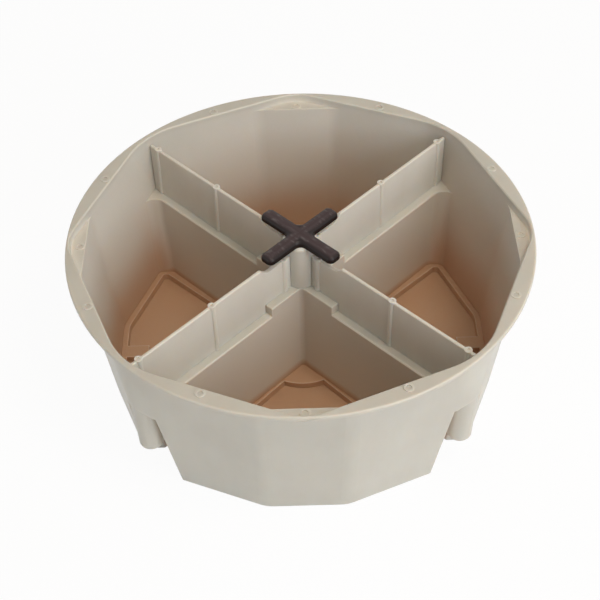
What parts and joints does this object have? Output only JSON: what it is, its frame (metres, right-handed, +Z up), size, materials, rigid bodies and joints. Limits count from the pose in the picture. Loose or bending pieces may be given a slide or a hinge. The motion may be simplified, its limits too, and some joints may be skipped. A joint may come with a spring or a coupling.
{
  "type": "bucket parts tray",
  "caption": "Round moulded parts tray with wedge pods, corner legs and a lift-out cross of divider panels under a finger grip; drops into a bucket and stacks.",
  "frame": {"origin": "on the floor under the middle of the tray, level with the feet of the pods", "axes": "+Z up; +X and +Y along two of the divider panels"},
  "size_m": [0.26, 0.26, 0.1012],
  "materials": {
    "tray_plastic": "fine matt moulded polypropylene, pale tan",
    "divider_plastic": "fine matt moulded polypropylene, pale tan",
    "grip_plastic": "satin moulded plastic, very dark brown",
    "screw_steel": "zinc plated"
  },
  "bodies": {
    "tray": {"tray_body": "tray_plastic"},
    "divider_set": {"divider_front": "divider_plastic", "divider_right": "divider_plastic", "divider_back": "divider_plastic", "divider_left": "divider_plastic", "hub_post": "divider_plastic", "cross_grip": "grip_plastic", "grip_screw": "screw_steel"}
  },
  "joints": [
    {"name": "divider_lift", "type": "slide", "parent": "tray", "child": "divider_set", "axis": [0, 0, 1], "range_m": [0, 0.06]}
  ]
}
